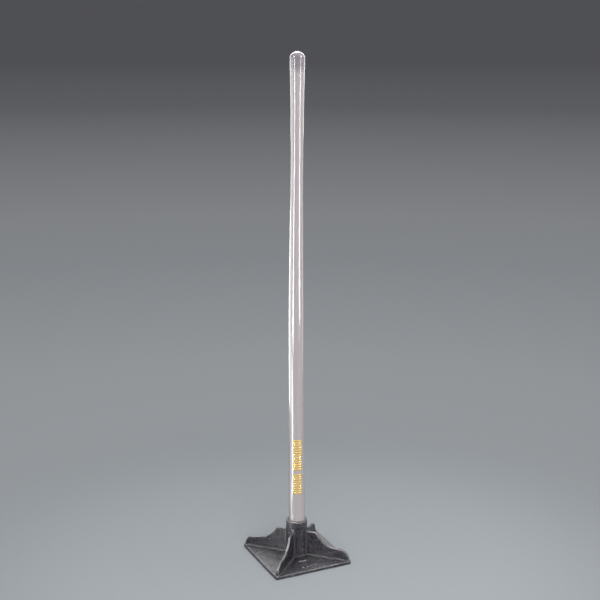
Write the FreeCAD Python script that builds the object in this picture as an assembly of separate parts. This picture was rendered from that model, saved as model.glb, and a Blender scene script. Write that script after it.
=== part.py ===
import FreeCAD, Part
import math
import os
from FreeCAD import Vector

# Hand tamper: a square cast-iron head with four scalloped ribs and a socket
# with a tapered bore, on a long turned ash handle that a lag screw holds there.
#
# Frame, in millimetres: the origin is the middle of the sole, the flat
# underside of the plate. +Z runs up the handle. X and Y run along the sides
# of the plate. The ribs lie on the diagonals. The lag screw goes in from +Y.

# Sole plate
plate_side = 203.2              # 8 in square
plate_thickness = 8.0
plate_corner_radius = 3.0       # seen from above
plate_edge_radius = 2.0         # rounding of the upper edge
sole_edge_bevel = 1.0           # bevel of the lower edge

# Socket
socket_height = 100.0           # sole to rim
socket_diameter = 53.0
rim_outer_radius = 3.5          # rounding of the rim
rim_inner_bevel = 1.5
bore_mouth_diameter = 41.0
bore_floor_diameter = 36.0
bore_floor_height = 14.0        # sole to the floor of the bore

# Ribs
rib_thickness = 7.0
rib_height = 70.5               # sole to the shoulder
rib_shoulder_radius = 4.5
rib_scallop_radius = 60.0
rib_toe_height = 35.0           # sole to the low end
rib_land_length = 6.0           # level stretch between scallop and nose
rib_nose_radius = 26.0
rib_tip_ledge = 2.0             # rib tip to the rounded edge of the plate
rib_edge_bevel = 1.5            # bevels along the top of the rib
rib_sector = 30.0               # degrees to each side of a rib that belong to it
root_radius = 5.0               # fillets between plate, ribs and socket

# Handle
handle_length = 1219.2          # 48 in
handle_clearance = 0.15         # handle to bore, each side
handle_end_chamfer = 2.5
belly_start_height = 340.0      # heights of the stations are above the sole
belly_end_height = 620.0
belly_diameter = 37.0
waist_start_height = 950.0
waist_diameter = 30.0
waist_drop = 120.0              # top of the knob down to the end of the waist
knob_drop = 34.0                # top of the knob down to its full diameter
knob_diameter = 34.0
dome_height = 14.0
dome_edge_radius = 12.0         # where the dome turns into the knob's side

# Lag screw and washer
screw_diameter = 7.94           # 5/16 in
screw_length = 38.1             # 1 1/2 in, under the head
screw_point_length = 8.0
screw_hex_width = 12.7          # across flats
screw_head_height = 5.4
screw_head_chamfer = 30.0       # degrees
washer_diameter = 17.5
washer_thickness = 1.6
screw_hole_clearance = 0.4      # in washer and casting, each side
thread_clearance = 0.05         # in the wood, each side
boss_margin = 1.0               # washer to the edge of the boss
boss_stand_out = 3.0            # boss face to the socket wall

# How near a point lies to a surface that it is on
surface_tolerance = 0.01

# Largest share that a rounding or bevel takes of the room it has
room_share = 0.9

# Places that follow from the sizes above
origin = Vector(0, 0, 0)
up = Vector(0, 0, 1)
half_side = plate_side / 2
corner_reach = (half_side - plate_corner_radius) * math.sqrt(2) + plate_corner_radius
edge_radius = min(plate_edge_radius, room_share * plate_corner_radius)
rib_reach = corner_reach - edge_radius - rib_tip_ledge
scallop_end = rib_reach - rib_nose_radius - rib_land_length
handle_top = bore_floor_height + handle_length
socket_radius = socket_diameter / 2
screw_height = (rib_height + socket_height) / 2
boss_face = socket_radius + boss_stand_out
boss_radius = washer_diameter / 2 + boss_margin
head_seat = boss_face + washer_thickness


def middle_of(edge):
    """Point half way along an edge."""
    return edge.valueAt((edge.FirstParameter + edge.LastParameter) / 2)


def is_upright(edge):
    """Whether an edge runs up and down."""
    return abs(edge.tangentAt(edge.FirstParameter).z) > room_share


def arc(start, end, centre):
    """The shorter arc from start to end round a centre."""
    radius = (start - centre).Length
    out = (start - centre) + (end - centre)
    out.normalize()
    return Part.Arc(start, centre + out * radius, end).toShape()


def line(start, end):
    return Part.LineSegment(start, end).toShape()


def rounded_square(side, corner_radius, bottom, height):
    """Upright square block with rounded corners, centred on the axis."""
    block = Part.makeBox(side, side, height, Vector(-side / 2, -side / 2, bottom))
    return block.makeFillet(corner_radius, [edge for edge in block.Edges if is_upright(edge)])


def level_edges(shape, height):
    """The edges of a shape that lie at one height."""
    level = []
    for edge in shape.Edges:
        heights = [vertex.Z for vertex in edge.Vertexes] + [middle_of(edge).z]
        if all(abs(one - height) < surface_tolerance for one in heights):
            level.append(edge)
    return level


def rib_outline():
    """Side view of a rib, from the axis (x = 0) to its nose over the plate's corner."""
    scallop_centre = Vector(scallop_end, 0, rib_toe_height + rib_scallop_radius)
    shoulder_level = rib_height - rib_shoulder_radius
    centre_gap = rib_scallop_radius + rib_shoulder_radius
    drop = scallop_centre.z - shoulder_level
    shoulder_x = scallop_end - math.sqrt(centre_gap ** 2 - drop ** 2)
    shoulder_centre = Vector(shoulder_x, 0, shoulder_level)
    share = rib_shoulder_radius / centre_gap
    shoulder_foot = shoulder_centre + (scallop_centre - shoulder_centre) * share
    nose_centre = Vector(rib_reach - rib_nose_radius, 0, rib_toe_height - rib_nose_radius)

    tip = Vector(rib_reach, 0, 0)
    nose_foot = Vector(rib_reach, 0, nose_centre.z)
    nose_top = Vector(nose_centre.x, 0, rib_toe_height)
    scallop_foot = Vector(scallop_end, 0, rib_toe_height)
    shoulder_edge = Vector(shoulder_x, 0, rib_height)
    axis_top = Vector(0, 0, rib_height)
    return Part.Wire([
        line(origin, tip),
        line(tip, nose_foot),
        arc(nose_foot, nose_top, nose_centre),
        line(nose_top, scallop_foot),
        arc(scallop_foot, shoulder_foot, scallop_centre),
        arc(shoulder_foot, shoulder_edge, shoulder_centre),
        line(shoulder_edge, axis_top),
        line(axis_top, origin),
    ])


def rib():
    """One rib along +X: the side view as an upright web with bevelled top edges."""
    half = rib_thickness / 2
    outline = rib_outline()
    outline.translate(Vector(0, -half, 0))
    web = Part.Face(outline).extrude(Vector(0, rib_thickness, 0))
    skin = []
    for edge in web.Edges:
        point = middle_of(edge)
        beside = abs(abs(point.y) - half) < surface_tolerance
        if beside and point.z > surface_tolerance and point.x > surface_tolerance:
            skin.append(edge)
    return web.makeChamfer(min(rib_edge_bevel, room_share * half), skin)


def socket_blank():
    """Solid socket with its rounded rim."""
    blank = Part.makeCylinder(socket_radius, socket_height)
    return blank.makeFillet(rim_outer_radius, level_edges(blank, socket_height))


def root_edges(body):
    """Inner corners round the plate's top, and where the sides of the ribs meet the socket."""
    roots = []
    for edge in body.Edges:
        point = middle_of(edge)
        reach = math.hypot(point.x, point.y)
        on_plate = abs(point.z - plate_thickness) < surface_tolerance and reach < corner_reach
        on_socket = abs(reach - socket_radius) < surface_tolerance
        turn_from_rib = abs(math.degrees(math.atan2(point.y, point.x)) % 90 - 45)
        beside_rib = turn_from_rib < rib_sector and plate_thickness < point.z < rib_height
        if on_plate or (on_socket and beside_rib and is_upright(edge)):
            roots.append(edge)
    return roots


def ribbed_star():
    """Socket and four ribs on an oversize disc, with every root filleted."""
    disc = Part.makeCylinder(plate_side, plate_thickness)
    ribs = []
    for quarter in range(4):
        turned = rib()
        turned.rotate(origin, up, 45 + 90 * quarter)
        ribs.append(turned)
    body = disc.fuse([socket_blank()] + ribs).removeSplitter()
    return body.makeFillet(min(root_radius, room_share * plate_thickness), root_edges(body))


def trim_block():
    """Room that the casting may fill: a plate with rounded edges, and all that rises inside them."""
    plate = rounded_square(plate_side, plate_corner_radius, 0, plate_thickness)
    plate = plate.makeFillet(edge_radius, level_edges(plate, plate_thickness))
    plate = plate.makeChamfer(sole_edge_bevel, level_edges(plate, 0))
    above_side = plate_side - 2 * edge_radius
    above_corner = plate_corner_radius - edge_radius
    above = rounded_square(above_side, above_corner, plate_thickness / 2, socket_height)
    return plate.fuse(above)


def screw_boss():
    """Round pad on the +Y side of the socket, faced flat for the washer."""
    return Part.makeCylinder(boss_radius, boss_face, Vector(0, 0, screw_height), Vector(0, 1, 0))


def socket_bore():
    """Blind tapered bore for the handle."""
    depth = socket_height - bore_floor_height
    floor = Vector(0, 0, bore_floor_height)
    return Part.makeCone(bore_floor_diameter / 2, bore_mouth_diameter / 2, depth, floor, up)


def make_head():
    """The one-piece casting."""
    body = ribbed_star().common(trim_block())
    body = body.fuse(screw_boss()).removeSplitter()
    body = body.cut(socket_bore())
    mouth = [edge for edge in level_edges(body, socket_height)
             if abs(edge.Curve.Radius - bore_mouth_diameter / 2) < surface_tolerance]
    body = body.makeChamfer(rim_inner_bevel, mouth)
    hole_radius = screw_diameter / 2 + screw_hole_clearance
    hole = Part.makeCylinder(hole_radius, 2 * boss_face, Vector(0, 0, screw_height), Vector(0, 1, 0))
    return body.cut(hole)


def dome(start, top):
    """Rounded end of the handle: an edge arc from the upright side, then the crown."""
    height = top.z - start.z
    edge_radius = min(dome_edge_radius, room_share * height)
    edge_centre = start - Vector(edge_radius, 0, 0)
    crown_radius = (start.x ** 2 + height ** 2 - 2 * start.x * edge_radius) / (2 * (height - edge_radius))
    crown_centre = top - Vector(0, 0, crown_radius)
    outward = edge_centre - crown_centre
    outward.normalize()
    meeting = edge_centre + outward * edge_radius
    return [arc(start, meeting, edge_centre), arc(meeting, top, crown_centre)]


def handle_section():
    """Half section of the handle in the XZ plane."""
    floor_radius = bore_floor_diameter / 2 - handle_clearance
    mouth_radius = bore_mouth_diameter / 2 - handle_clearance
    seat_slope = (mouth_radius - floor_radius) / (socket_height - bore_floor_height)

    chamfer_level = bore_floor_height + handle_end_chamfer
    belly_radius = belly_diameter / 2
    waist_radius = waist_diameter / 2
    knob_radius = knob_diameter / 2

    stations = [
        Vector(0, 0, bore_floor_height),
        Vector(floor_radius - handle_end_chamfer, 0, bore_floor_height),
        Vector(floor_radius + seat_slope * handle_end_chamfer, 0, chamfer_level),
        Vector(mouth_radius, 0, socket_height),
        Vector(belly_radius, 0, belly_start_height),
        Vector(belly_radius, 0, belly_end_height),
        Vector(waist_radius, 0, waist_start_height),
        Vector(waist_radius, 0, handle_top - waist_drop),
        Vector(knob_radius, 0, handle_top - knob_drop),
        Vector(knob_radius, 0, handle_top - dome_height),
    ]
    top = Vector(0, 0, handle_top)
    edges = [line(lower, upper) for lower, upper in zip(stations, stations[1:])]
    edges += dome(stations[-1], top)
    edges.append(line(top, stations[0]))
    return Part.Wire(edges)


def screw_shank(extra):
    """Shank of the lag screw with its point, along -Y from under the head, grown by extra."""
    radius = screw_diameter / 2 + extra
    start = Vector(0, head_seat, screw_height)
    inward = Vector(0, -1, 0)
    straight = screw_length - screw_point_length
    shank = Part.makeCylinder(radius, straight, start, inward)
    point = Part.makeCone(radius, extra, screw_point_length + extra, start + inward * straight, inward)
    return shank.fuse(point)


def make_handle():
    """Turned ash handle: tapered seat, long belly, waist and domed knob."""
    body = Part.Face(handle_section()).revolve(origin, up, 360)
    return body.cut(screw_shank(thread_clearance))


def make_screw():
    """Hex lag screw; its head stands on the washer."""
    corner_radius = screw_hex_width / math.sqrt(3)
    flat_radius = screw_hex_width / 2
    corners = []
    for step in range(7):
        turn = math.radians(60 * step)
        corners.append(Vector(corner_radius * math.cos(turn), head_seat,
                              screw_height + corner_radius * math.sin(turn)))
    hexagon = Part.Face(Part.makePolygon(corners)).extrude(Vector(0, screw_head_height, 0))
    slope = math.tan(math.radians(screw_head_chamfer))
    crown_height = flat_radius * slope
    crown_base = Vector(0, head_seat + screw_head_height - crown_height, screw_height)
    crown = Part.makeCone(2 * flat_radius, flat_radius, crown_height, crown_base, Vector(0, 1, 0))
    skirt_height = screw_head_height - crown_height
    seat = Vector(0, head_seat, screw_height)
    skirt = Part.makeCylinder(2 * flat_radius, skirt_height, seat, Vector(0, 1, 0))
    head = hexagon.common(crown.fuse(skirt))
    return head.fuse(screw_shank(0)).removeSplitter()


def make_washer():
    """Flat washer between screw head and boss."""
    base = Vector(0, boss_face, screw_height)
    outward = Vector(0, 1, 0)
    disc = Part.makeCylinder(washer_diameter / 2, washer_thickness, base, outward)
    hole_radius = screw_diameter / 2 + screw_hole_clearance
    return disc.cut(Part.makeCylinder(hole_radius, washer_thickness, base, outward))


def main():
    os.makedirs("parts", exist_ok=True)
    pieces = {
        "tamper_head": make_head(),
        "handle": make_handle(),
        "lag_screw": make_screw(),
        "flat_washer": make_washer(),
    }
    for name, shape in pieces.items():
        shape.exportStep("parts/" + name + ".step")
        state = "valid" if shape.isValid() else "BAD"
        print(name, state, len(shape.Solids), round(shape.Volume / 1000, 2), "cm3")


main()
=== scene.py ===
"""Hand tamper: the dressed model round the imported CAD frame, laid out as an add-on."""

import math

import bpy
import numpy as np
from bpy.props import FloatProperty, FloatVectorProperty, IntProperty, PointerProperty
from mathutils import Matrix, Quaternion, Vector, noise


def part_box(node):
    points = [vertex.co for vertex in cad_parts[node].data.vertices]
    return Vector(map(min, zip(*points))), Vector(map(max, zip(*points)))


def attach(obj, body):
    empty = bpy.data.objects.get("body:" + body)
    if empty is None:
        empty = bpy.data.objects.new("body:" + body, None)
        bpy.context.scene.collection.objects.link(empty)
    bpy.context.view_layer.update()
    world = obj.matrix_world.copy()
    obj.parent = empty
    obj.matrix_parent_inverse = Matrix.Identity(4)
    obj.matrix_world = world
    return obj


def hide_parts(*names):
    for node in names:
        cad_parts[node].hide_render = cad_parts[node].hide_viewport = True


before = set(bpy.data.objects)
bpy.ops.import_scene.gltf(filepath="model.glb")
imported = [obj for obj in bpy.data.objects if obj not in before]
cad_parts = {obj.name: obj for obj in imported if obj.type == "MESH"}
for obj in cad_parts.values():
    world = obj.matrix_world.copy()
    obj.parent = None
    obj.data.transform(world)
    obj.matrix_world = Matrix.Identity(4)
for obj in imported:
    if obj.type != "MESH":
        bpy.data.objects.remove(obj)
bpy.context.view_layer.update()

bl_info = {
    "name": "Hand Tamper",
    "version": (1, 0, 0),
    "blender": (4, 5, 0),
    "location": "View3D > Sidebar > Tamper",
    "description": "Builds a hand tamper: ribbed cast head, turned ash handle, lag screw and washer",
    "category": "Object",
}

BODY = "root"
MM = 0.001

head_low, head_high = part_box("tamper_head")
handle_low, handle_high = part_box("handle")
screw_low, screw_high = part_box("lag_screw")
washer_low, washer_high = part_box("flat_washer")

# Sizes of the casting in millimetres
HALF_SIDE = head_high.x / MM
CORNER_RADIUS = 3.0
PLATE_THICKNESS = 8.0
PLATE_EDGE_RADIUS = 2.1
SOLE_EDGE_RADIUS = 1.0
SOCKET_HEIGHT = head_high.z / MM
SOCKET_RADIUS = 26.5
RIM_RADIUS = 3.6
RIM_INNER_RADIUS = 1.6
BORE_MOUTH_RADIUS = 20.5
BORE_FLOOR_RADIUS = 18.0
BORE_FLOOR = handle_low.z / MM
RIB_TOP_HALF = 3.2
RIB_FOOT_HALF = 3.9
RIB_HEIGHT = 70.5
RIB_SHOULDER_RADIUS = 4.5
RIB_SCALLOP_RADIUS = 60.0
RIB_TOE_HEIGHT = 35.0
RIB_LAND = 6.0
RIB_NOSE_RADIUS = 26.0
RIB_TIP_LEDGE = 4.0
RIB_REACH = (HALF_SIDE - CORNER_RADIUS) * math.sqrt(2) + CORNER_RADIUS - RIB_TIP_LEDGE
SCREW_HEIGHT = (screw_low.z + screw_high.z) / 2 / MM
BOSS_FACE = washer_low.y / MM
BOSS_RADIUS = (washer_high.x - washer_low.x) / 2 / MM + 1.0
HOLE_RADIUS = 4.37
HANDLE_TOP = handle_high.z / MM

# Roundings of the casting's small forms, in millimetres
BOSS_EDGE_RADIUS = 0.9
BOSS_FILLET = 2.0
MARK_CORNER_RADIUS = 1.0
MARK_FILLET = 0.7
HOLE_EDGE_RADIUS = 0.4

# The camera's place and aim in degrees: its turn is from -Y toward -X, seen from the object
CAMERA_TURN = 25.3
CAMERA_PITCH = 13.3
CAMERA_PAN = 0.16
CAMERA_ROLL = 0.13
CAMERA_SENSOR = 36.0
TOWARD_CAMERA = -90.0 - CAMERA_TURN


def colour_property(name, description, value):
    return FloatVectorProperty(name=name, description=description, default=value, size=3,
                               min=0.0, max=1.0, subtype="COLOR")


def length_property(name, description, value):
    return FloatProperty(name=name, description=description, default=value, min=0.0,
                         unit="LENGTH", subtype="DISTANCE", precision=5)


class TamperHeadSettings(bpy.types.PropertyGroup):
    """Sizes and colours of the casting."""

    facet: length_property("Facet size", "Size of the facets of the casting's skin", 0.00125)
    root_fillet: length_property("Root fillet", "Fillets between plate, ribs and socket", 0.0025)
    rib_rounding: length_property("Rib rounding", "Rounding along the top of the ribs", 0.002)
    skin_depth: length_property("Skin depth", "Depth of the uneven sand cast skin", 0.0005)
    edge_waver: length_property("Edge waver", "How far the plate's edges waver", 0.0004)
    enamel: colour_property("Enamel", "Charcoal black dipped enamel", (0.0215, 0.0182, 0.0265))
    # Lighter edges: partly enamel gone thin with wear, partly a painted highlight along the edge roundings.
    rubbed_and_glint: colour_property("Rubbed edge", "Enamel rubbed thin over the edges", (0.15, 0.145, 0.148))
    # Inner corners: partly dirt, partly painted shade in the fillets and roots where shade falls.
    dirt_and_shade: colour_property("Dirt", "Dark dirt in the inner corners", (0.022, 0.021, 0.021))
    # Mark tops: partly wear down to the iron, partly a painted highlight on the raised mark.
    bare_and_glint: colour_property("Bare iron", "Tops of the raised mark, rubbed bare", (0.42, 0.41, 0.42))


class TamperHandleSettings(bpy.types.PropertyGroup):
    """Sizes and colours of the turned handle."""

    bow: length_property("Bow", "Natural bow of the stick at mid height", 0.002)
    late_wood: colour_property("Late wood", "Dense part of each growth ring", (0.50, 0.45, 0.462))
    early_wood: colour_property("Early wood", "Open part of each growth ring", (0.412, 0.360, 0.355))
    pore: colour_property("Pore", "Open pores of the ash", (0.23, 0.18, 0.155))
    # Darker tone over the knob, towards the top.
    knob_darkening: colour_property("Soaked end", "End grain of the knob, dark with lacquer", (0.24, 0.20, 0.235))


class TamperMarkSettings(bpy.types.PropertyGroup):
    """The plain printed bars on the handle."""

    ink: colour_property("Ink", "Yellow ink of the plain bars", (0.80, 0.52, 0.09))
    upper_bars: IntProperty(name="Upper bars", description="Bars in the upper group",
                            default=13, min=1, max=40)
    lower_bars: IntProperty(name="Lower bars", description="Bars in the lower group",
                            default=9, min=1, max=40)


class TamperFasteningSettings(bpy.types.PropertyGroup):
    """Finish of the lag screw and its washer."""

    zinc: colour_property("Zinc", "Bright zinc plate", (0.56, 0.57, 0.58))


class TamperStageSettings(bpy.types.PropertyGroup):
    """Camera, floor and lamps."""

    distance: length_property("Camera distance", "From the handle's axis, along the floor", 2.540)
    camera_height: length_property("Camera height", "Above the floor", 1.258)
    lens: FloatProperty(name="Lens", description="Focal length on a 36 mm sensor, in millimetres",
                        default=66.0, min=10.0, max=300.0)
    floor: colour_property("Floor", "Pale grey floor", (0.385, 0.41, 0.43))
    far: colour_property("Far background", "Background at the horizon", (0.079, 0.080, 0.089))


class TamperSettings(bpy.types.PropertyGroup):
    """All the settings of the tamper."""

    head: PointerProperty(type=TamperHeadSettings)
    handle: PointerProperty(type=TamperHandleSettings)
    marks: PointerProperty(type=TamperMarkSettings)
    fastening: PointerProperty(type=TamperFasteningSettings)
    stage: PointerProperty(type=TamperStageSettings)


# Mesh helpers


def new_object(name, mesh):
    made = bpy.data.objects.new(name, mesh)
    bpy.context.scene.collection.objects.link(made)
    return made


def mesh_from(name, points, faces):
    """Smooth shaded mesh from points in millimetres and lists of corners."""
    mesh = bpy.data.meshes.new(name)
    mesh.from_pydata([tuple(c * MM for c in point) for point in points], [], faces)
    mesh.validate()
    mesh.shade_smooth()
    return mesh


def read_points(mesh):
    """The vertices of a mesh, in millimetres."""
    flat = np.zeros(len(mesh.vertices) * 3, np.float64)
    mesh.vertices.foreach_get("co", flat)
    return flat.reshape(-1, 3) / MM


def write_points(mesh, points):
    mesh.vertices.foreach_set("co", (points * MM).astype(np.float32).ravel())
    mesh.update()


def write_mask(mesh, name, values):
    """A number for each vertex, for the materials to read."""
    mask = mesh.attributes.new(name, "FLOAT", "POINT")
    mask.data.foreach_set("value", np.clip(values, 0, 1).astype(np.float32))


def place(piece, material, node_slot, *nodes):
    """Gives a piece its material and its body, and hides the CAD nodes that it stands for. The slot is not
    used.
    """
    piece.data.materials.clear()
    piece.data.materials.append(material)
    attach(piece, BODY)
    if nodes:
        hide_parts(*nodes)


def smooth_step(low, high, value):
    """Eased share from 0 at low to 1 at high."""
    share = np.clip((value - low) / (high - low), 0, 1)
    return share * share * (3 - 2 * share)


def lumps(points, wavelength):
    """Smooth noise between about -1 and 1 at each point."""
    return np.array([noise.noise(Vector(point)) for point in points / wavelength])


# The casting as a solid field: below zero inside the iron, in millimetres


def round_union(a, b, radius):
    """Both solids together, with a fillet of the radius where they meet."""
    blend = np.hypot(np.maximum(radius - a, 0), np.maximum(radius - b, 0))
    return np.maximum(radius, np.minimum(a, b)) - blend


def round_common(a, b, radius):
    """What two solids share, with the edge between them rounded."""
    return -round_union(-a, -b, radius)


def rounded_square_field(x, y, half, corner):
    """Distance to the outline of an upright square post with rounded corners."""
    across = np.abs(x) - half + corner
    along = np.abs(y) - half + corner
    outside = np.hypot(np.maximum(across, 0), np.maximum(along, 0))
    return outside + np.minimum(np.maximum(across, along), 0) - corner


def arc_points(centre, radius, start, end, count):
    """Points along an arc, between two turns in degrees."""
    turns = np.radians(np.linspace(start, end, count))
    return [(centre[0] + radius * math.cos(t), centre[1] + radius * math.sin(t)) for t in turns]


def rib_outline():
    """Side view of a rib as (reach, height) points, anticlockwise from under the socket."""
    scallop_end = RIB_REACH - RIB_NOSE_RADIUS - RIB_LAND
    scallop_level = RIB_TOE_HEIGHT + RIB_SCALLOP_RADIUS
    shoulder_level = RIB_HEIGHT - RIB_SHOULDER_RADIUS
    drop = scallop_level - shoulder_level
    shoulder = scallop_end - math.sqrt((RIB_SCALLOP_RADIUS + RIB_SHOULDER_RADIUS) ** 2 - drop ** 2)
    lean = math.degrees(math.atan2(drop, scallop_end - shoulder))
    nose_centre = (RIB_REACH - RIB_NOSE_RADIUS, RIB_TOE_HEIGHT - RIB_NOSE_RADIUS)
    hidden = -40.0
    outline = [(hidden, hidden), (RIB_REACH, hidden)]
    outline += arc_points(nose_centre, RIB_NOSE_RADIUS, 0, 90, 14)
    outline += arc_points((scallop_end, scallop_level), RIB_SCALLOP_RADIUS, -90, lean - 180, 26)
    outline += arc_points((shoulder, shoulder_level), RIB_SHOULDER_RADIUS, lean, 90, 8)
    outline.append((hidden, RIB_HEIGHT))
    return np.array(outline)


class RibField:
    """Distance to the rib's side view, worked out once on a fine grid."""

    STEP = 0.25
    LOW = (-8.0, -8.0)
    HIGH = (160.0, 112.0)

    def __init__(self):
        outline = rib_outline()
        reach = np.arange(self.LOW[0], self.HIGH[0], self.STEP)
        height = np.arange(self.LOW[1], self.HIGH[1], self.STEP)
        across, up = np.meshgrid(reach, height, indexing="ij")
        nearest = np.full(across.shape, 1e9)
        crossings = np.zeros(across.shape, int)
        for start, end in zip(outline, np.roll(outline, -1, axis=0)):
            run = end - start
            share = ((across - start[0]) * run[0] + (up - start[1]) * run[1]) / (run @ run)
            share = np.clip(share, 0, 1)
            gap = np.hypot(across - start[0] - share * run[0], up - start[1] - share * run[1])
            nearest = np.minimum(nearest, gap)
            if start[1] != end[1]:
                spans = (start[1] > up) != (end[1] > up)
                meets = start[0] + (up - start[1]) * run[0] / run[1]
                crossings += spans & (across < meets)
        self.grid = np.where(crossings % 2 == 1, -nearest, nearest)

    def at(self, reach, height):
        """The grid's value at any point, blended between its four neighbours."""
        i = np.clip((reach - self.LOW[0]) / self.STEP, 0, self.grid.shape[0] - 1.001)
        j = np.clip((height - self.LOW[1]) / self.STEP, 0, self.grid.shape[1] - 1.001)
        i0 = i.astype(int)
        j0 = j.astype(int)
        u = i - i0
        v = j - j0
        near = self.grid[i0, j0] * (1 - u) + self.grid[i0 + 1, j0] * u
        far = self.grid[i0, j0 + 1] * (1 - u) + self.grid[i0 + 1, j0 + 1] * u
        return near * (1 - v) + far * v


# Raised foundry mark on the plate: a plain bar and four pips (x, y, half length, half width)
FOUNDRY_MARK = [
    (-9.0, -51.5, 10.0, 2.4),
    (-21.0, -82.5, 2.6, 2.6),
    (-9.5, -82.5, 2.6, 2.6),
    (2.0, -82.5, 2.6, 2.6),
    (13.5, -82.5, 2.6, 2.6),
]
MARK_HEIGHT = 1.6
MARK_ROOT = 3.0


def casting_field(points, ribs, fillet, rounding):
    """The whole casting: ribs, socket, plate, boss and mark, less the bore and the hole."""
    x, y, z = points.T
    along = (x + y) / math.sqrt(2)
    across = (y - x) / math.sqrt(2)
    out = np.hypot(x, y)

    half = RIB_FOOT_HALF + (RIB_TOP_HALF - RIB_FOOT_HALF) * np.clip(z / RIB_HEIGHT, 0, 1)
    rib_a = round_common(ribs.at(np.abs(along), z), np.abs(across) - half, rounding)
    rib_b = round_common(ribs.at(np.abs(across), z), np.abs(along) - half, rounding)
    socket = round_common(out - SOCKET_RADIUS, z - SOCKET_HEIGHT, RIM_RADIUS)
    body = round_union(np.minimum(rib_a, rib_b), socket, fillet)
    body = round_union(body, z - PLATE_THICKNESS, fillet)

    boss = np.hypot(x, z - SCREW_HEIGHT) - BOSS_RADIUS
    boss = round_common(boss, np.abs(y - BOSS_FACE / 2) - BOSS_FACE / 2, BOSS_EDGE_RADIUS)
    body = round_union(body, boss, BOSS_FILLET)

    for mark_x, mark_y, half_length, half_width in FOUNDRY_MARK:
        squeezed = (x - mark_x) * half_width / half_length
        pad = rounded_square_field(squeezed, y - mark_y, half_width, MARK_CORNER_RADIUS)
        pad = round_common(pad, z - PLATE_THICKNESS - MARK_HEIGHT, MARK_FILLET)
        body = round_union(body, np.maximum(pad, PLATE_THICKNESS - MARK_ROOT - z), MARK_FILLET)

    side = rounded_square_field(x, y, HALF_SIDE, CORNER_RADIUS)
    body = round_common(body, side, PLATE_EDGE_RADIUS)
    body = round_common(body, -z, SOLE_EDGE_RADIUS)

    share = (z - BORE_FLOOR) / (SOCKET_HEIGHT - BORE_FLOOR)
    bore = out - (BORE_FLOOR_RADIUS + (BORE_MOUTH_RADIUS - BORE_FLOOR_RADIUS) * share)
    bore = np.maximum(bore, BORE_FLOOR - z)
    body = round_common(body, -bore, RIM_INNER_RADIUS)
    hole = np.maximum(np.hypot(x, z - SCREW_HEIGHT) - HOLE_RADIUS, -y)
    return round_common(body, -hole, HOLE_EDGE_RADIUS)


def field_and_slope(field, points):
    """Value of a field, its unit slope and its steepness at each point."""
    reach = 0.15
    least_steepness = 0.3
    slope = np.zeros_like(points)
    for axis in range(3):
        step = np.zeros(3)
        step[axis] = reach
        slope[:, axis] = field(points + step) - field(points - step)
    slope /= 2 * reach
    length = np.maximum(np.linalg.norm(slope, axis=1), least_steepness)
    return field(points), slope / length[:, None], length


def relax(points, edges, share):
    """Moves each point a share of the way to the middle of its neighbours."""
    total = np.zeros_like(points)
    count = np.zeros(len(points))
    for a, b in ((0, 1), (1, 0)):
        np.add.at(total, edges[:, a], points[edges[:, b]])
        np.add.at(count, edges[:, a], 1)
    return points + share * (total / np.maximum(count, 1)[:, None] - points)


def even_skin(facet):
    """The CAD casting remeshed into small even faces."""
    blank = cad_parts["tamper_head"].data.copy()
    carrier = new_object("casting_blank", blank)
    remesh = carrier.modifiers.new("skin", "REMESH")
    remesh.mode = "VOXEL"
    remesh.voxel_size = facet
    settled = carrier.evaluated_get(bpy.context.evaluated_depsgraph_get())
    mesh = bpy.data.meshes.new_from_object(settled)
    bpy.data.objects.remove(carrier)
    mesh.name = "casting"
    mesh.materials.clear()
    mesh.shade_smooth()
    return mesh


def settle(field, points, edges, facet):
    """Draws the points onto the field's surface, evening them out in the first passes."""
    passes = 7
    even_passes = 5
    for turn in range(passes):
        if turn < even_passes:
            points = relax(points, edges, 0.5)
        value, slope, length = field_and_slope(field, points)
        points -= slope * np.clip(value / length, -facet, facet)[:, None]
    return points


def write_wear_shade_and_highlight_masks(mesh, field, points, value):
    """Masks of the outer edges, the inner corners and the tops of the raised mark, for wear, dirt, painted
    highlight and painted shade.
    """
    bend_reach = 1.6
    edge_gain = 1.1
    cavity_gain = 2.4
    ring = np.zeros(len(points))
    for axis in range(3):
        step = np.zeros(3)
        step[axis] = bend_reach
        ring += field(points + step) + field(points - step)
    curve = (ring - 6 * value) / bend_reach
    # Mask of the raised mark's tops, for their wear and painted highlight.
    worn_and_glint = smooth_step(PLATE_THICKNESS + 0.7, PLATE_THICKNESS + MARK_HEIGHT, points[:, 2])
    near = []
    for x, y, half_length, half_width in FOUNDRY_MARK:
        near.append(np.maximum(np.abs(points[:, 0] - x) - half_length, np.abs(points[:, 1] - y) - half_width))
    write_mask(mesh, "worn_and_glint", worn_and_glint * (np.min(near, axis=0) < 0.5))
    write_mask(mesh, "edge", curve * edge_gain)
    write_mask(mesh, "cavity", -curve * cavity_gain)


def cast_unevenness(settings, points):
    """How far each point sinks: wavering edges and a lumpy sand cast skin, none at the sole."""
    waver_length = 21.0
    lump_length = 7.0
    pit_length = 2.9
    above_sole = smooth_step(0.2, 2.5, points[:, 2])
    waver = 0.5 + 0.5 * lumps(points, waver_length)
    to_side = rounded_square_field(points[:, 0], points[:, 1], HALF_SIDE, CORNER_RADIUS)
    sink = waver * smooth_step(-6.0, -1.0, to_side) * settings.edge_waver / MM
    skin = 0.5 + 0.3 * lumps(points, lump_length) + 0.2 * lumps(points, pit_length)
    sink += skin * settings.skin_depth / MM
    return sink * above_sole


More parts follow.
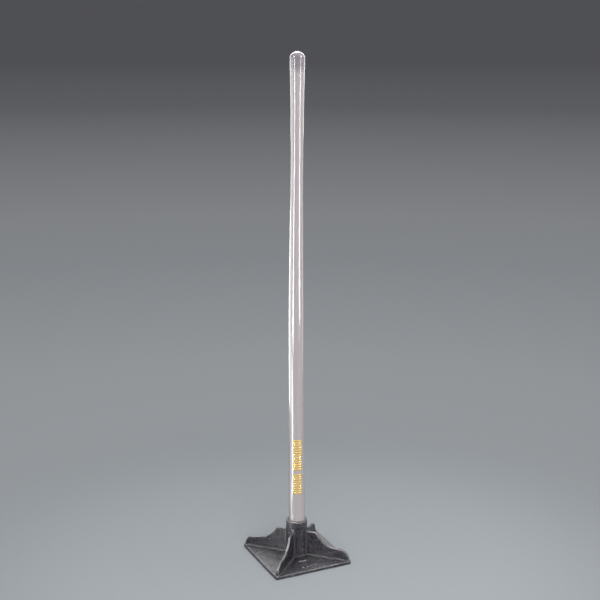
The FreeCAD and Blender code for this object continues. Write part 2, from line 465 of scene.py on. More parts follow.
def cast_skin(settings):
    """Mesh of the casting: an even skin settled on the field, with the uneven cast surface."""
    mesh = even_skin(settings.facet)
    ribs = RibField()
    fillet = settings.root_fillet / MM
    rounding = settings.rib_rounding / MM

    def field(points):
        return casting_field(points, ribs, fillet, rounding)

    edges = np.zeros(len(mesh.edges) * 2, np.int64)
    mesh.edges.foreach_get("vertices", edges)
    points = settle(field, read_points(mesh), edges.reshape(-1, 2), settings.facet / MM)
    value, slope, _ = field_and_slope(field, points)
    write_wear_shade_and_highlight_masks(mesh, field, points, value)
    points -= slope * cast_unevenness(settings, points)[:, None]
    points[:, 2] = np.clip(points[:, 2], 0.0, SOCKET_HEIGHT)
    points[:, :2] = np.clip(points[:, :2], -HALF_SIDE, HALF_SIDE)
    write_points(mesh, points)
    return mesh


# The turned handle

# Height above the sole and diameter, in millimetres
HANDLE_STATIONS = [
    (14.0, 31.0),
    (16.5, 35.8),
    (100.0, 40.5),
    (122.0, 40.2),
    (220.0, 38.4),
    (340.0, 37.1),
    (480.0, 37.0),
    (620.0, 36.9),
    (780.0, 33.9),
    (900.0, 31.2),
    (960.0, 30.3),
    (1060.0, 29.9),
    (1113.0, 30.2),
    (1150.0, 31.5),
    (1199.0, 34.0),
]
SEAT_TOP = 100.0
KNOB_RADIUS = 17.0
DOME_HEIGHT = 14.0
DOME_EDGE_RADIUS = 12.0
LEFT_OF_CAMERA = Vector((-math.cos(math.radians(CAMERA_TURN)), math.sin(math.radians(CAMERA_TURN))))


def dome_profile():
    """Radius and height of the domed end, from the knob's side to the very top."""
    base = HANDLE_TOP - DOME_HEIGHT
    room = 2 * (DOME_HEIGHT - DOME_EDGE_RADIUS)
    crown = (KNOB_RADIUS ** 2 + DOME_HEIGHT ** 2 - 2 * KNOB_RADIUS * DOME_EDGE_RADIUS) / room
    edge_x = KNOB_RADIUS - DOME_EDGE_RADIUS
    crown_z = HANDLE_TOP - crown
    meet = math.degrees(math.atan2(base - crown_z, edge_x))
    profile = arc_points((edge_x, base), DOME_EDGE_RADIUS, 0, meet, 12)
    profile += arc_points((0.0, crown_z), crown, meet, 90, 9)[1:]
    return profile


def stick_profile():
    """Radius and height down the handle's side, the bends between the stations eased."""
    stations = np.array(HANDLE_STATIONS)
    low = [(d / 2, z) for z, d in HANDLE_STATIONS[:3]]
    spacing = 5.0
    heights = np.arange(SEAT_TOP + spacing, HANDLE_TOP - DOME_HEIGHT - 1, spacing)
    ease = 18.0
    shifts = np.linspace(-ease, ease, 9)
    eased = [np.interp(heights + shift, stations[:, 0], stations[:, 1]) for shift in shifts]
    radii = np.mean(eased, axis=0) / 2
    side = [(float(r), float(z)) for r, z in zip(radii, heights)]
    return low + side + dome_profile()


PROFILE = stick_profile()
PROFILE_HEIGHTS = np.array([z for _, z in PROFILE])
PROFILE_RADII = np.array([r for r, _ in PROFILE])


def bow_at(height, bow):
    """Sideways shift of the handle's axis at a height."""
    share = np.clip((height - SEAT_TOP) / (HANDLE_TOP - SEAT_TOP), 0, 1)
    return bow / MM * np.sin(np.pi * share) ** 2


def stick_point(radius, turn, height, bow):
    """Point of the handle's surface, with the bow and a little unevenness from the turning."""
    uneven = noise.noise(Vector((math.cos(turn) * 0.9, math.sin(turn) * 0.9, height / 70.0)))
    wander = noise.noise(Vector((4.0, 7.0, height / 160.0)))
    firm = min(1.0, max(0.0, (height - SEAT_TOP) / 30.0))
    reach = radius - firm * (0.10 + 0.10 * uneven)
    shift = LEFT_OF_CAMERA * float(bow_at(height, bow) + firm * 0.25 * wander)
    return (reach * math.cos(turn) + shift.x, reach * math.sin(turn) + shift.y, height)


def stick_mesh(bow):
    """The closed skin of the handle: rings of points up the profile, flat below, domed above."""
    around = 96
    points = []
    for radius, height in PROFILE[:-1]:
        for step in range(around):
            points.append(stick_point(radius, 2 * math.pi * step / around, height, bow))
    rings = len(PROFILE) - 1
    faces = []
    for ring in range(rings - 1):
        for step in range(around):
            a = ring * around + step
            b = ring * around + (step + 1) % around
            faces.append((a, b, b + around, a + around))
    points.append((0.0, 0.0, PROFILE[0][1]))
    points.append((0.0, 0.0, HANDLE_TOP))
    for step in range(around):
        after = (step + 1) % around
        faces.append((len(points) - 2, after, step))
        last = (rings - 1) * around
        faces.append((len(points) - 1, last + step, last + after))
    return mesh_from("handle_stick", points, faces)


# Printed bars: heights of the two groups in millimetres, reach to both sides of the camera's
# direction in degrees, and the share of the pitch that has ink
UPPER_BARS_SPAN = (233.5, 313.5)
LOWER_BARS_SPAN = (172.0, 225.0)
BAR_LEFT = 27.0
BAR_RIGHT = 42.0
BAR_SHARE = 0.80


def bar_mesh(name, bars, bow):
    """Thin printed bars that lie on the handle: (bottom, top, first turn, last turn) each."""
    points = []
    faces = []
    inside = -0.25
    proud = 0.06
    columns = 14
    for bottom, top, first, last in bars:
        rows = [bottom, (bottom + top) / 2, top]
        start = len(points)
        for lift in (inside, proud):
            for height in rows:
                radius = float(np.interp(height, PROFILE_HEIGHTS, PROFILE_RADII)) + lift
                for column in range(columns + 1):
                    turn = math.radians(first + (last - first) * column / columns)
                    points.append(stick_point(radius, turn, height, bow))
        width = columns + 1
        layer = width * len(rows)
        for row in range(len(rows) - 1):
            for column in range(columns):
                a = start + row * width + column
                faces.append((a, a + width, a + width + 1, a + 1))
                a += layer
                faces.append((a, a + 1, a + width + 1, a + width))
        for row in range(len(rows) - 1):
            left = start + row * width
            right = left + columns
            faces.append((left, left + layer, left + layer + width, left + width))
            faces.append((right, right + width, right + layer + width, right + layer))
        for column in range(columns):
            low = start + column
            high = start + (len(rows) - 1) * width + column
            faces.append((low, low + 1, low + layer + 1, low + layer))
            faces.append((high, high + layer, high + layer + 1, high + 1))
    return mesh_from(name, points, faces)


# Shader helpers


def shader_graph(name):
    material = bpy.data.materials.new(name)
    material.use_nodes = True
    nodes = material.node_tree.nodes
    return material, material.node_tree, nodes["Principled BSDF"]


def join(tree, out_socket, in_socket):
    tree.links.new(out_socket, in_socket)


def ramp(tree, source, stops):
    """Colours by a number: stops are (position, colour) pairs."""
    node = tree.nodes.new("ShaderNodeValToRGB")
    band = node.color_ramp
    while len(band.elements) < len(stops):
        band.elements.new(0.5)
    for element, (position, colour) in zip(band.elements, stops):
        element.position = position
        element.color = (*colour, 1.0)
    join(tree, source, node.inputs["Fac"])
    return node.outputs["Color"]


def math_node(tree, operation, a, b=None, c=None, clamp=False):
    node = tree.nodes.new("ShaderNodeMath")
    node.operation = operation
    node.use_clamp = clamp
    for socket, value in zip(node.inputs, (a, b, c)):
        if value is None:
            continue
        if isinstance(value, (int, float)):
            socket.default_value = value
        else:
            join(tree, value, socket)
    return node.outputs[0]


def blend_colour(tree, share, a, b):
    """Colour a where the share is 0, colour b where it is 1."""
    node = tree.nodes.new("ShaderNodeMix")
    node.data_type = "RGBA"
    inputs = [s for s in node.inputs if s.enabled]
    for socket, value in zip(inputs, (share, a, b)):
        if isinstance(value, tuple):
            socket.default_value = (*value, 1.0)
        else:
            join(tree, value, socket)
    return [s for s in node.outputs if s.enabled][0]


def map_range(tree, value, low, high, to_low=0.0, to_high=1.0, kind="LINEAR"):
    """A number between two others, carried over to a new range and kept inside it."""
    node = tree.nodes.new("ShaderNodeMapRange")
    node.interpolation_type = kind
    node.inputs["From Min"].default_value = low
    node.inputs["From Max"].default_value = high
    node.inputs["To Min"].default_value = to_low
    node.inputs["To Max"].default_value = to_high
    join(tree, value, node.inputs["Value"])
    return node.outputs["Result"]


def vector_node(tree, operation, vector):
    node = tree.nodes.new("ShaderNodeVectorMath")
    node.operation = operation
    if isinstance(vector, tuple):
        node.inputs[0].default_value = vector
    else:
        join(tree, vector, node.inputs[0])
    return node


def mix_shaders(tree, share, a, b):
    node = tree.nodes.new("ShaderNodeMixShader")
    for socket, source in zip(node.inputs, (share, a, b)):
        join(tree, source, socket)
    return node.outputs["Shader"]


def seen_rays(tree):
    """One for the rays that show the background: camera, gloss and transmission."""
    path = tree.nodes.new("ShaderNodeLightPath")
    seen = math_node(tree, "MAXIMUM", path.outputs["Is Camera Ray"], path.outputs["Is Glossy Ray"])
    return math_node(tree, "MAXIMUM", seen, path.outputs["Is Transmission Ray"])


def stretched_noise(tree, place_socket, scale, detail=3.0, roughness=0.55):
    """Noise in object coordinates; scale is the number of waves per metre along each axis."""
    mapping = tree.nodes.new("ShaderNodeMapping")
    mapping.inputs["Scale"].default_value = scale if isinstance(scale, tuple) else (scale,) * 3
    join(tree, place_socket, mapping.inputs["Vector"])
    node = tree.nodes.new("ShaderNodeTexNoise")
    node.inputs["Scale"].default_value = 1.0
    node.inputs["Detail"].default_value = detail
    node.inputs["Roughness"].default_value = roughness
    join(tree, mapping.outputs["Vector"], node.inputs["Vector"])
    return node.outputs["Fac"]


def object_place(tree):
    return tree.nodes.new("ShaderNodeTexCoord").outputs["Object"]


def new_group(name, inputs, outputs):
    """Shader node group with named number inputs and outputs."""
    group = bpy.data.node_groups.new(name, "ShaderNodeTree")
    for label, value in inputs:
        socket = group.interface.new_socket(label, in_out="INPUT", socket_type="NodeSocketFloat")
        socket.default_value = value
    for label in outputs:
        group.interface.new_socket(label, in_out="OUTPUT", socket_type="NodeSocketFloat")
    return group, group.nodes.new("NodeGroupInput"), group.nodes.new("NodeGroupOutput")


def fine_grit_group():
    """Fine grit: a varying mask and a height, by waves per metre."""
    group, start, end = new_group("Fine grit", [("Waves", 900.0), ("Coarse share", 0.5)], ["Mask", "Height"])
    place_socket = object_place(group)
    fine = group.nodes.new("ShaderNodeTexNoise")
    join(group, place_socket, fine.inputs["Vector"])
    join(group, start.outputs["Waves"], fine.inputs["Scale"])
    fine.inputs["Detail"].default_value = 4.0
    fine.inputs["Roughness"].default_value = 0.6
    coarse = group.nodes.new("ShaderNodeTexNoise")
    join(group, place_socket, coarse.inputs["Vector"])
    join(group, math_node(group, "MULTIPLY", start.outputs["Waves"], 0.22), coarse.inputs["Scale"])
    coarse.inputs["Detail"].default_value = 3.0
    mixed = math_node(group, "MULTIPLY", coarse.outputs["Fac"], start.outputs["Coarse share"])
    height = math_node(group, "ADD", fine.outputs["Fac"], mixed)
    join(group, height, end.inputs["Height"])
    mask = math_node(group, "MULTIPLY_ADD", coarse.outputs["Fac"], 3.0, -1.0, clamp=True)
    join(group, mask, end.inputs["Mask"])
    return group


def grit(tree, waves, coarse_share):
    group = bpy.data.node_groups.get("Fine grit") or fine_grit_group()
    node = tree.nodes.new("ShaderNodeGroup")
    node.node_tree = group
    node.inputs["Waves"].default_value = waves
    node.inputs["Coarse share"].default_value = coarse_share
    return node.outputs["Mask"], node.outputs["Height"]


def bump(tree, height, distance, strength):
    node = tree.nodes.new("ShaderNodeBump")
    node.inputs["Distance"].default_value = distance
    node.inputs["Strength"].default_value = strength
    join(tree, height, node.inputs["Height"])
    return node.outputs["Normal"]


def vertex_mask(tree, name):
    node = tree.nodes.new("ShaderNodeAttribute")
    node.attribute_name = name
    return node.outputs["Fac"]


# Materials

# Waves per metre across, across and up
GRIT_WAVES = 300.0
MOTTLE_WAVES = 130.0
DRIFT_WAVES = (5.0, 5.0, 2.2)
FIBRE_WAVES = (1500.0, 1500.0, 14.0)
PORE_WAVES = (2300.0, 2300.0, 55.0)
STREAK_WAVES = (130.0, 130.0, 1.6)
LINE_WAVES = (420.0, 420.0, 3.5)
INK_WAVES = (1300.0, 1300.0, 30.0)
ZINC_WAVES = 1500.0

# Where the tree's heart lies beside the handle, how it leans, and how close its rings are
HEART_X = 0.052
HEART_Y = 0.031
HEART_LEAN = 0.011
RINGS_PER_METRE = 430.0


def tinted(colour, factor=1.0):
    """A colour property as a plain tuple, made darker or lighter."""
    return tuple(c * factor for c in colour)


def enamel_material(settings):
    """Dipped black enamel over a sand casting: lighter along the edges and on the mark tops, partly wear and
    partly painted highlight, and darker in the inner corners, partly dirt and partly painted shade.
    """
    material, tree, shader = shader_graph("cast_iron_enamel")
    mask, height = grit(tree, GRIT_WAVES, 1.1)
    cloud = stretched_noise(tree, object_place(tree), MOTTLE_WAVES, 5.0, 0.70)
    edge = vertex_mask(tree, "edge")
    cavity = vertex_mask(tree, "cavity")
    # Mark tops: wear and painted highlight, lighter than the enamel.
    worn_and_glint = math_node(tree, "MULTIPLY", vertex_mask(tree, "worn_and_glint"), 0.85)

    tone = ramp(tree, cloud, [
        (0.34, tinted(settings.enamel, 0.35)),
        (0.50, tinted(settings.enamel)),
        (0.66, tinted(settings.enamel, 2.30)),
    ])
    # Painted highlight and wear: the convex edges take the lighter colour, by the edge mask.
    rub_and_glint_share = math_node(tree, "MULTIPLY", edge, math_node(tree, "MULTIPLY_ADD", mask, 0.9, 0.05))
    rubbed_and_glint = blend_colour(tree, rub_and_glint_share, tone, tinted(settings.rubbed_and_glint))
    rubbed_and_glint = blend_colour(tree, worn_and_glint, rubbed_and_glint, tinted(settings.bare_and_glint))
    # Painted shade and dirt: the inner corners take the dark colour, by the cavity mask.
    dirt_and_shade_share = math_node(tree, "MULTIPLY", cavity, math_node(tree, "MULTIPLY_ADD", mask, 0.4, 0.6))
    colour = blend_colour(tree, dirt_and_shade_share, rubbed_and_glint, tinted(settings.dirt_and_shade))
    join(tree, colour, shader.inputs["Base Color"])

    rough = math_node(tree, "MULTIPLY_ADD", cloud, 0.56, 0.03)
    rough = math_node(tree, "MULTIPLY_ADD", dirt_and_shade_share, 0.65, rough, clamp=True)
    join(tree, rough, shader.inputs["Roughness"])
    join(tree, bump(tree, height, 0.0018, 0.9), shader.inputs["Normal"])
    shader.inputs["Specular IOR Level"].default_value = 0.62
    return material


def ash_material(settings):
    """Turned ash under clear lacquer: growth rings, fine vertical grain and open pores."""
    material, tree, shader = shader_graph("lacquered_ash")
    place_socket = object_place(tree)
    early_wood = tinted(settings.early_wood)
    late_wood = tinted(settings.late_wood)

    split = tree.nodes.new("ShaderNodeSeparateXYZ")
    join(tree, place_socket, split.inputs["Vector"])
    drift = stretched_noise(tree, place_socket, DRIFT_WAVES, 2.0)
    heart_x = math_node(tree, "MULTIPLY_ADD", split.outputs["Z"], HEART_LEAN, HEART_X)
    from_heart_x = math_node(tree, "ADD", split.outputs["X"], heart_x)
    from_heart_y = math_node(tree, "ADD", split.outputs["Y"], HEART_Y)
    reach = math_node(tree, "SQRT", math_node(
        tree, "ADD",
        math_node(tree, "MULTIPLY", from_heart_x, from_heart_x),
        math_node(tree, "MULTIPLY", from_heart_y, from_heart_y)))
    reach = math_node(tree, "MULTIPLY_ADD", drift, 0.010, reach)
    ring = math_node(tree, "FRACT", math_node(tree, "MULTIPLY", reach, RINGS_PER_METRE))

    fibre = stretched_noise(tree, place_socket, FIBRE_WAVES, 4.0, 0.65)
    pores = stretched_noise(tree, place_socket, PORE_WAVES, 2.0, 0.5)
    streak = stretched_noise(tree, place_socket, STREAK_WAVES, 3.0)
    lines = stretched_noise(tree, place_socket, LINE_WAVES, 2.0)

    ring_tone = ramp(tree, ring, [
        (0.00, early_wood),
        (0.30, late_wood),
        (0.85, tinted(late_wood, 1.04)),
        (1.00, early_wood),
    ])
    streak_share = math_node(tree, "MULTIPLY_ADD", streak, 1.3, -0.35, clamp=True)
    grain = blend_colour(tree, streak_share, ring_tone, late_wood)
    fibre_share = math_node(tree, "MULTIPLY_ADD", fibre, 2.4, -0.95, clamp=True)
    grain = blend_colour(tree, math_node(tree, "MULTIPLY", fibre_share, 0.30), grain, early_wood)
    line_share = math_node(tree, "MULTIPLY_ADD", lines, 3.0, -1.35, clamp=True)
    grain = blend_colour(tree, math_node(tree, "MULTIPLY", line_share, 0.45), grain, early_wood)
    pore_share = math_node(tree, "MULTIPLY_ADD", pores, 9.0, -5.6, clamp=True)
    open_ring = ramp(tree, ring, [
        (0.00, (1.0, 1.0, 1.0)),
        (0.35, (0.15, 0.15, 0.15)),
        (0.90, (0.20, 0.20, 0.20)),
        (1.00, (1.0, 1.0, 1.0)),
    ])
    pore_share = math_node(tree, "MULTIPLY", pore_share, open_ring)
    pore_blend = math_node(tree, "MULTIPLY", pore_share, 0.55)
    colour = blend_colour(tree, pore_blend, grain, tinted(settings.pore))
    # The knob is darker towards the top.
    knob = math_node(tree, "MULTIPLY_ADD", drift, 0.02, split.outputs["Z"])
    knob_darkening_share = ramp(tree, math_node(tree, "MULTIPLY_ADD", knob, 20.0, -23.6, clamp=True), [
        (0.25, (0.0, 0.0, 0.0)),
        (0.60, (0.85, 0.85, 0.85)),
    ])
    colour = blend_colour(tree, knob_darkening_share, colour, tinted(settings.knob_darkening))
    join(tree, colour, shader.inputs["Base Color"])

    join(tree, math_node(tree, "MULTIPLY_ADD", fibre, 0.22, 0.30), shader.inputs["Roughness"])
    relief = math_node(tree, "MULTIPLY_ADD", pore_share, -1.0, math_node(tree, "MULTIPLY", fibre, 0.35))
    join(tree, bump(tree, relief, 0.00012, 0.35), shader.inputs["Normal"])
    shader.inputs["Specular IOR Level"].default_value = 0.15
    shader.inputs["Coat Weight"].default_value = 1.0
    shader.inputs["Coat Roughness"].default_value = 0.15
    return material


def ink_material(settings):
    """Yellow ink on the wood: the fibres show through a little."""
    material, tree, shader = shader_graph("yellow_ink")
    fibre = stretched_noise(tree, object_place(tree), INK_WAVES, 3.0)
    red, green, blue = settings.ink
    colour = ramp(tree, fibre, [
        (0.25, tinted(settings.ink, 0.80)),
        (0.50, tinted(settings.ink)),
        (0.80, (red, min(1.0, green * 1.18), blue * 1.6)),
    ])
    join(tree, colour, shader.inputs["Base Color"])
    join(tree, math_node(tree, "MULTIPLY_ADD", fibre, 0.2, 0.3), shader.inputs["Roughness"])
    shader.inputs["Coat Weight"].default_value = 0.6
    shader.inputs["Coat Roughness"].default_value = 0.16
    return material


def zinc_material(settings):
    """Bright zinc plate with a fine crystal mottle."""
    material, tree, shader = shader_graph("zinc_plate")
    mask, height = grit(tree, ZINC_WAVES, 0.6)
    colour = blend_colour(tree, mask, tinted(settings.zinc, 0.86), tinted(settings.zinc))
    join(tree, colour, shader.inputs["Base Color"])
    shader.inputs["Metallic"].default_value = 1.0
    join(tree, math_node(tree, "MULTIPLY_ADD", mask, 0.14, 0.24), shader.inputs["Roughness"])
    join(tree, bump(tree, height, 0.00008, 0.3), shader.inputs["Normal"])
    return material


# Painted falloff of light: glowing tones of the floor by distance from the object, share of the way to the
# last one, on a log scale
FLOOR_FALLOFF_TONES = [
    (0.00, (0.295, 0.312, 0.329)),
    (0.14, (0.283, 0.300, 0.316)),
    (0.23, (0.256, 0.271, 0.286)),
    (0.33, (0.225, 0.236, 0.250)),
    (0.42, (0.213, 0.221, 0.235)),
    (0.72, (0.106, 0.108, 0.117)),
]
FLOOR_FALLOFF_TONES_END = 4.1
FLOOR_FADE = (0.45, 1.2)
# Painted light on the floor: distances towards the camera in metres, and the factors that scale the floor
# colour there.
FLOOR_PAINTED_LIGHT_FROM = (-0.8, 0.2)
FLOOR_PAINTED_LIGHT_TO = (0.86, 1.10)


def floor_material(settings):
    """Pale grey floor, painted lighter towards the camera, that fades with distance into a painted falloff of
    light in the darker background tones.
    """
    material, tree, shader = shader_graph("studio_floor")
    shader.inputs["Roughness"].default_value = 0.85
    shader.inputs["Specular IOR Level"].default_value = 0.0
    place_socket = object_place(tree)

    turn = math.radians(TOWARD_CAMERA)
    nearer = vector_node(tree, "DOT_PRODUCT", place_socket)
    nearer.inputs[1].default_value = (math.cos(turn), math.sin(turn), 0.0)
    # Painted light: the floor colour is lighter towards the camera.
    lift = map_range(tree, nearer.outputs["Value"], *FLOOR_PAINTED_LIGHT_FROM, *FLOOR_PAINTED_LIGHT_TO)
    pale = vector_node(tree, "SCALE", tinted(settings.floor))
    join(tree, lift, pale.inputs["Scale"])
    join(tree, pale.outputs["Vector"], shader.inputs["Base Color"])

    length = vector_node(tree, "LENGTH", place_socket).outputs["Value"]
    away = math_node(tree, "LOGARITHM", math_node(tree, "MAXIMUM", length, 0.05), math.e)
    share = map_range(tree, away, 0.0, FLOOR_FALLOFF_TONES_END)
    # Painted falloff of light: the far floor glows for camera and gloss rays.
    falloff_glow = tree.nodes.new("ShaderNodeEmission")
    join(tree, ramp(tree, share, FLOOR_FALLOFF_TONES + [(1.00, tinted(settings.far))]), falloff_glow.inputs["Color"])
    fade = map_range(tree, length, *FLOOR_FADE, kind="SMOOTHSTEP")
    falloff_glow_share = math_node(tree, "MULTIPLY", fade, seen_rays(tree))
    shown = mix_shaders(tree, falloff_glow_share, shader.outputs["BSDF"], falloff_glow.outputs["Emission"])

    clear = tree.nodes.new("ShaderNodeBsdfTransparent")
    under = tree.nodes.new("ShaderNodeNewGeometry")
    one_sided = mix_shaders(tree, under.outputs["Backfacing"], shown, clear.outputs["BSDF"])
    join(tree, one_sided, tree.nodes["Material Output"].inputs["Surface"])
    return material


# Operators


class TAMPER_OT_casting(bpy.types.Operator):
    """Builds the one-piece cast head"""

    bl_idname = "tamper.casting"
    bl_label = "Cast head"

    def execute(self, context):
        settings = context.scene.tamper.head
        piece = new_object("casting", cast_skin(settings))
        place(piece, enamel_material(settings), "head_casting", "tamper_head")
        return {"FINISHED"}


class TAMPER_OT_handle(bpy.types.Operator):
    """Builds the turned ash handle"""

    bl_idname = "tamper.handle"
    bl_label = "Handle"

    def execute(self, context):
        settings = context.scene.tamper.handle
        piece = new_object("handle_stick", stick_mesh(settings.bow))
        place(piece, ash_material(settings), "handle_wood", "handle")
        return {"FINISHED"}


class TAMPER_OT_marks(bpy.types.Operator):
    """Prints two groups of plain yellow bars on the handle"""

    bl_idname = "tamper.marks"
    bl_label = "Printed bars"

    def execute(self, context):
        settings = context.scene.tamper.marks
        bow = context.scene.tamper.handle.bow
        material = ink_material(settings)
        groups = (
            ("bars_upper", settings.upper_bars, *UPPER_BARS_SPAN),
            ("bars_lower", settings.lower_bars, *LOWER_BARS_SPAN),
        )
        for name, count, bottom, top in groups:
            pitch = (top - bottom) / count
            bars = []
            for step in range(count):
                low = bottom + pitch * step
                ragged = noise.noise(Vector((step * 1.7, bottom, 3.0)))
                first = TOWARD_CAMERA - BAR_LEFT + 7.0 * ragged
                last = TOWARD_CAMERA + BAR_RIGHT + 9.0 * noise.noise(Vector((step * 2.3, top, 9.0)))
                bars.append((low, low + pitch * BAR_SHARE, first, last))
            piece = new_object(name, bar_mesh(name, bars, bow))
            place(piece, material, "handle_wood")
        return {"FINISHED"}


class TAMPER_OT_fastening(bpy.types.Operator):
    """Finishes the lag screw and its washer"""

    bl_idname = "tamper.fastening"
    bl_label = "Lag screw and washer"

    def execute(self, context):
        material = zinc_material(context.scene.tamper.fastening)
        for node in ("lag_screw", "flat_washer"):
            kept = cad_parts[node]
            kept.data.materials.clear()
            kept.data.materials.append(material)
        return {"FINISHED"}


class TAMPER_OT_stage(bpy.types.Operator):
    """Sets the floor, the lamps, the background and the camera"""

    bl_idname = "tamper.stage"
    bl_label = "Stage"

    def execute(self, context):
        settings = context.scene.tamper.stage
        corners = [(-1, -1), (1, -1), (1, 1), (-1, 1)]
        points = [(x * FLOOR_REACH, y * FLOOR_REACH, FLOOR_LEVEL) for x, y in corners]
        floor = new_object("studio_floor", mesh_from("studio_floor", points, [(0, 1, 2, 3)]))
        floor.data.materials.append(floor_material(settings))
        set_world(context, settings)
        for lamp in LAMPS:
            set_lamp(*lamp)
        set_camera(context, settings)
        context.scene.view_settings.view_transform = "Standard"
        return {"FINISHED"}


# Half side of the floor and its level, in millimetres
FLOOR_REACH = 400000.0
FLOOR_LEVEL = -0.3

# Colour and strength of the soft light from all round
SKY_COLOUR = (0.95, 0.98, 1.0, 1.0)
SKY_STRENGTH = 0.35

# Name, degrees to the right of the camera, distance and height of the middle in metres,
# width and height in metres, power in watts, height that it aims at, spread in degrees,
# what it lights
LAMPS = [
    ("front_fill", 10.0, 3.20, 0.80, 1.80, 1.80, 66.0, 0.40, 180.0, "colour"),
    ("overhead", 130.0, 0.45, 2.60, 1.80, 1.80, 40.0, 0.0, 180.0, "colour"),
    ("overhead_gloss", 180.0, 0.20, 2.20, 1.60, 1.60, 6.0, 0.0, 180.0, "gloss"),
    ("crown", 180.0, 0.80, 2.17, 0.50, 0.50, 10.0, 1.20, 180.0, "gloss"),
    ("strip_left", -46.0, 0.90, 0.79, 0.19, 0.92, 2.0, 1.08, 60.0, "gloss"),
    ("card_left", -62.0, 0.45, 0.20, 0.10, 0.39, 0.44, 0.47, 60.0, "gloss"),
    ("toe_left", -76.0, 0.22, 0.065, 0.05, 0.11, 0.012, 0.18, 50.0, "gloss"),
    ("socket_left", -50.0, 0.19, 0.022, 0.018, 0.036, 0.014, 0.06, 60.0, "gloss"),
    ("wash_left", -48.0, 0.90, 0.70, 0.30, 0.50, 4.6, 0.03, 60.0, "gloss"),
    ("high_left", -54.0, 1.10, 1.62, 0.55, 0.55, 14.0, 0.04, 180.0, "gloss"),
    ("strip_right", 52.0, 1.00, 0.785, 0.22, 0.81, 1.70, 1.08, 60.0, "gloss"),
    ("wash_right", 52.0, 1.00, 0.45, 0.22, 0.40, 1.6, 0.05, 60.0, "gloss"),
    ("high_right", 66.0, 1.15, 1.62, 0.50, 0.50, 26.0, 0.02, 180.0, "gloss"),
    ("band_left", -88.0, 1.20, 0.78, 0.60, 1.55, 2.2, 1.05, 60.0, "gloss"),
    ("band_low", -90.0, 0.30, 0.16, 0.26, 0.29, 0.10, 0.38, 60.0, "gloss"),
    ("rim_left", -118.0, 1.30, 0.80, 0.50, 1.60, 1.8, 1.10, 60.0, "gloss"),
    ("edge_left", -130.0, 0.50, 0.52, 0.12, 0.58, 1.8, 0.52, 180.0, "gloss"),
    ("rim_right", 112.0, 1.30, 0.85, 0.35, 1.60, 5.5, 0.60, 180.0, "gloss"),
    ("back_panel", 180.0, 1.90, 1.65, 3.60, 2.20, 82.0, 0.05, 180.0, "gloss"),
]


def round_the_object(turn, distance, height):
    """A point at a turn to the right of the camera's direction, seen from the object."""
    angle = math.radians(TOWARD_CAMERA + turn)
    return Vector((distance * math.cos(angle), distance * math.sin(angle), height))


def set_lamp(name, turn, distance, height, width, tall, power, aim, spread, lights):
    """One soft box, unseen by the camera, that lights either the colours or the gloss."""
    light = bpy.data.lights.new(name, "AREA")
    light.shape = "RECTANGLE"
    light.size = width
    light.size_y = tall
    light.energy = power
    light.spread = math.radians(spread)
    lamp = new_object(name, light)
    spot = round_the_object(turn, distance, height)
    lamp.location = spot
    lamp.rotation_euler = (Vector((0, 0, aim)) - spot).to_track_quat("-Z", "Y").to_euler()
    lamp.visible_camera = False
    lamp.visible_diffuse = lights != "gloss"
    lamp.visible_glossy = lights != "colour"


def set_world(context, settings):
    """Soft even light; the camera and the gloss see the darker background instead."""
    world = bpy.data.worlds.new("studio_world")
    context.scene.world = world
    world.use_nodes = True
    tree = world.node_tree
    tree.nodes.clear()
    light = tree.nodes.new("ShaderNodeBackground")
    light.inputs["Color"].default_value = SKY_COLOUR
    light.inputs["Strength"].default_value = SKY_STRENGTH
    shown = tree.nodes.new("ShaderNodeBackground")
    shown.inputs["Color"].default_value = (*settings.far, 1.0)
    mix = mix_shaders(tree, seen_rays(tree), light.outputs["Background"], shown.outputs["Background"])
    end = tree.nodes.new("ShaderNodeOutputWorld")
    join(tree, mix, end.inputs["Surface"])


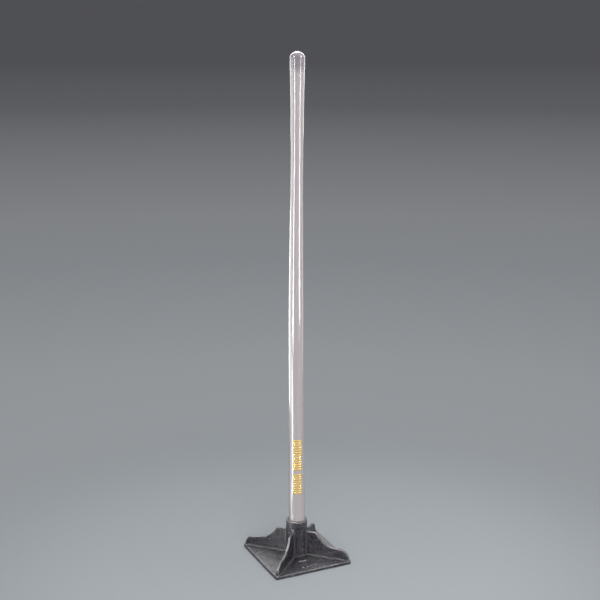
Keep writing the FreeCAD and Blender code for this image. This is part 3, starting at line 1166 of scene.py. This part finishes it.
def set_camera(context, settings):
    turn = math.radians(CAMERA_TURN)
    pitch = math.radians(CAMERA_PITCH)
    heading = turn + math.radians(CAMERA_PAN)
    spot = Vector((-settings.distance * math.sin(turn), -settings.distance * math.cos(turn),
                   settings.camera_height))
    forward = Vector((math.sin(heading) * math.cos(pitch), math.cos(heading) * math.cos(pitch),
                      -math.sin(pitch)))
    data = bpy.data.cameras.new("camera")
    data.lens = settings.lens
    data.sensor_width = CAMERA_SENSOR
    data.clip_end = 1000.0
    camera = new_object("camera", data)
    camera.location = spot
    roll = Quaternion((0, 0, 1), math.radians(CAMERA_ROLL))
    camera.rotation_euler = (forward.to_track_quat("-Z", "Y") @ roll).to_euler()
    context.scene.camera = camera


class TAMPER_PT_panel(bpy.types.Panel):
    """Lists the steps of the tamper"""

    bl_idname = "TAMPER_PT_panel"
    bl_label = "Hand tamper"
    bl_space_type = "VIEW_3D"
    bl_region_type = "UI"
    bl_category = "Tamper"

    def draw(self, context):
        settings = context.scene.tamper
        for group, step in PANEL_ROWS:
            box = self.layout.box()
            values = getattr(settings, group)
            for name in values.__annotations__:
                box.prop(values, name)
            box.operator(step)


PANEL_ROWS = [
    ("head", "tamper.casting"),
    ("handle", "tamper.handle"),
    ("marks", "tamper.marks"),
    ("fastening", "tamper.fastening"),
    ("stage", "tamper.stage"),
]

CLASSES = [
    TamperHeadSettings,
    TamperHandleSettings,
    TamperMarkSettings,
    TamperFasteningSettings,
    TamperStageSettings,
    TamperSettings,
    TAMPER_OT_casting,
    TAMPER_OT_handle,
    TAMPER_OT_marks,
    TAMPER_OT_fastening,
    TAMPER_OT_stage,
    TAMPER_PT_panel,
]


def register():
    for one in CLASSES:
        bpy.utils.register_class(one)
    bpy.types.Scene.tamper = PointerProperty(type=TamperSettings)


def unregister():
    del bpy.types.Scene.tamper
    for one in reversed(CLASSES):
        bpy.utils.unregister_class(one)


def main():
    register()
    bpy.ops.tamper.casting()
    bpy.ops.tamper.handle()
    bpy.ops.tamper.marks()
    bpy.ops.tamper.fastening()
    bpy.ops.tamper.stage()


if __name__ == "__main__":
    main()
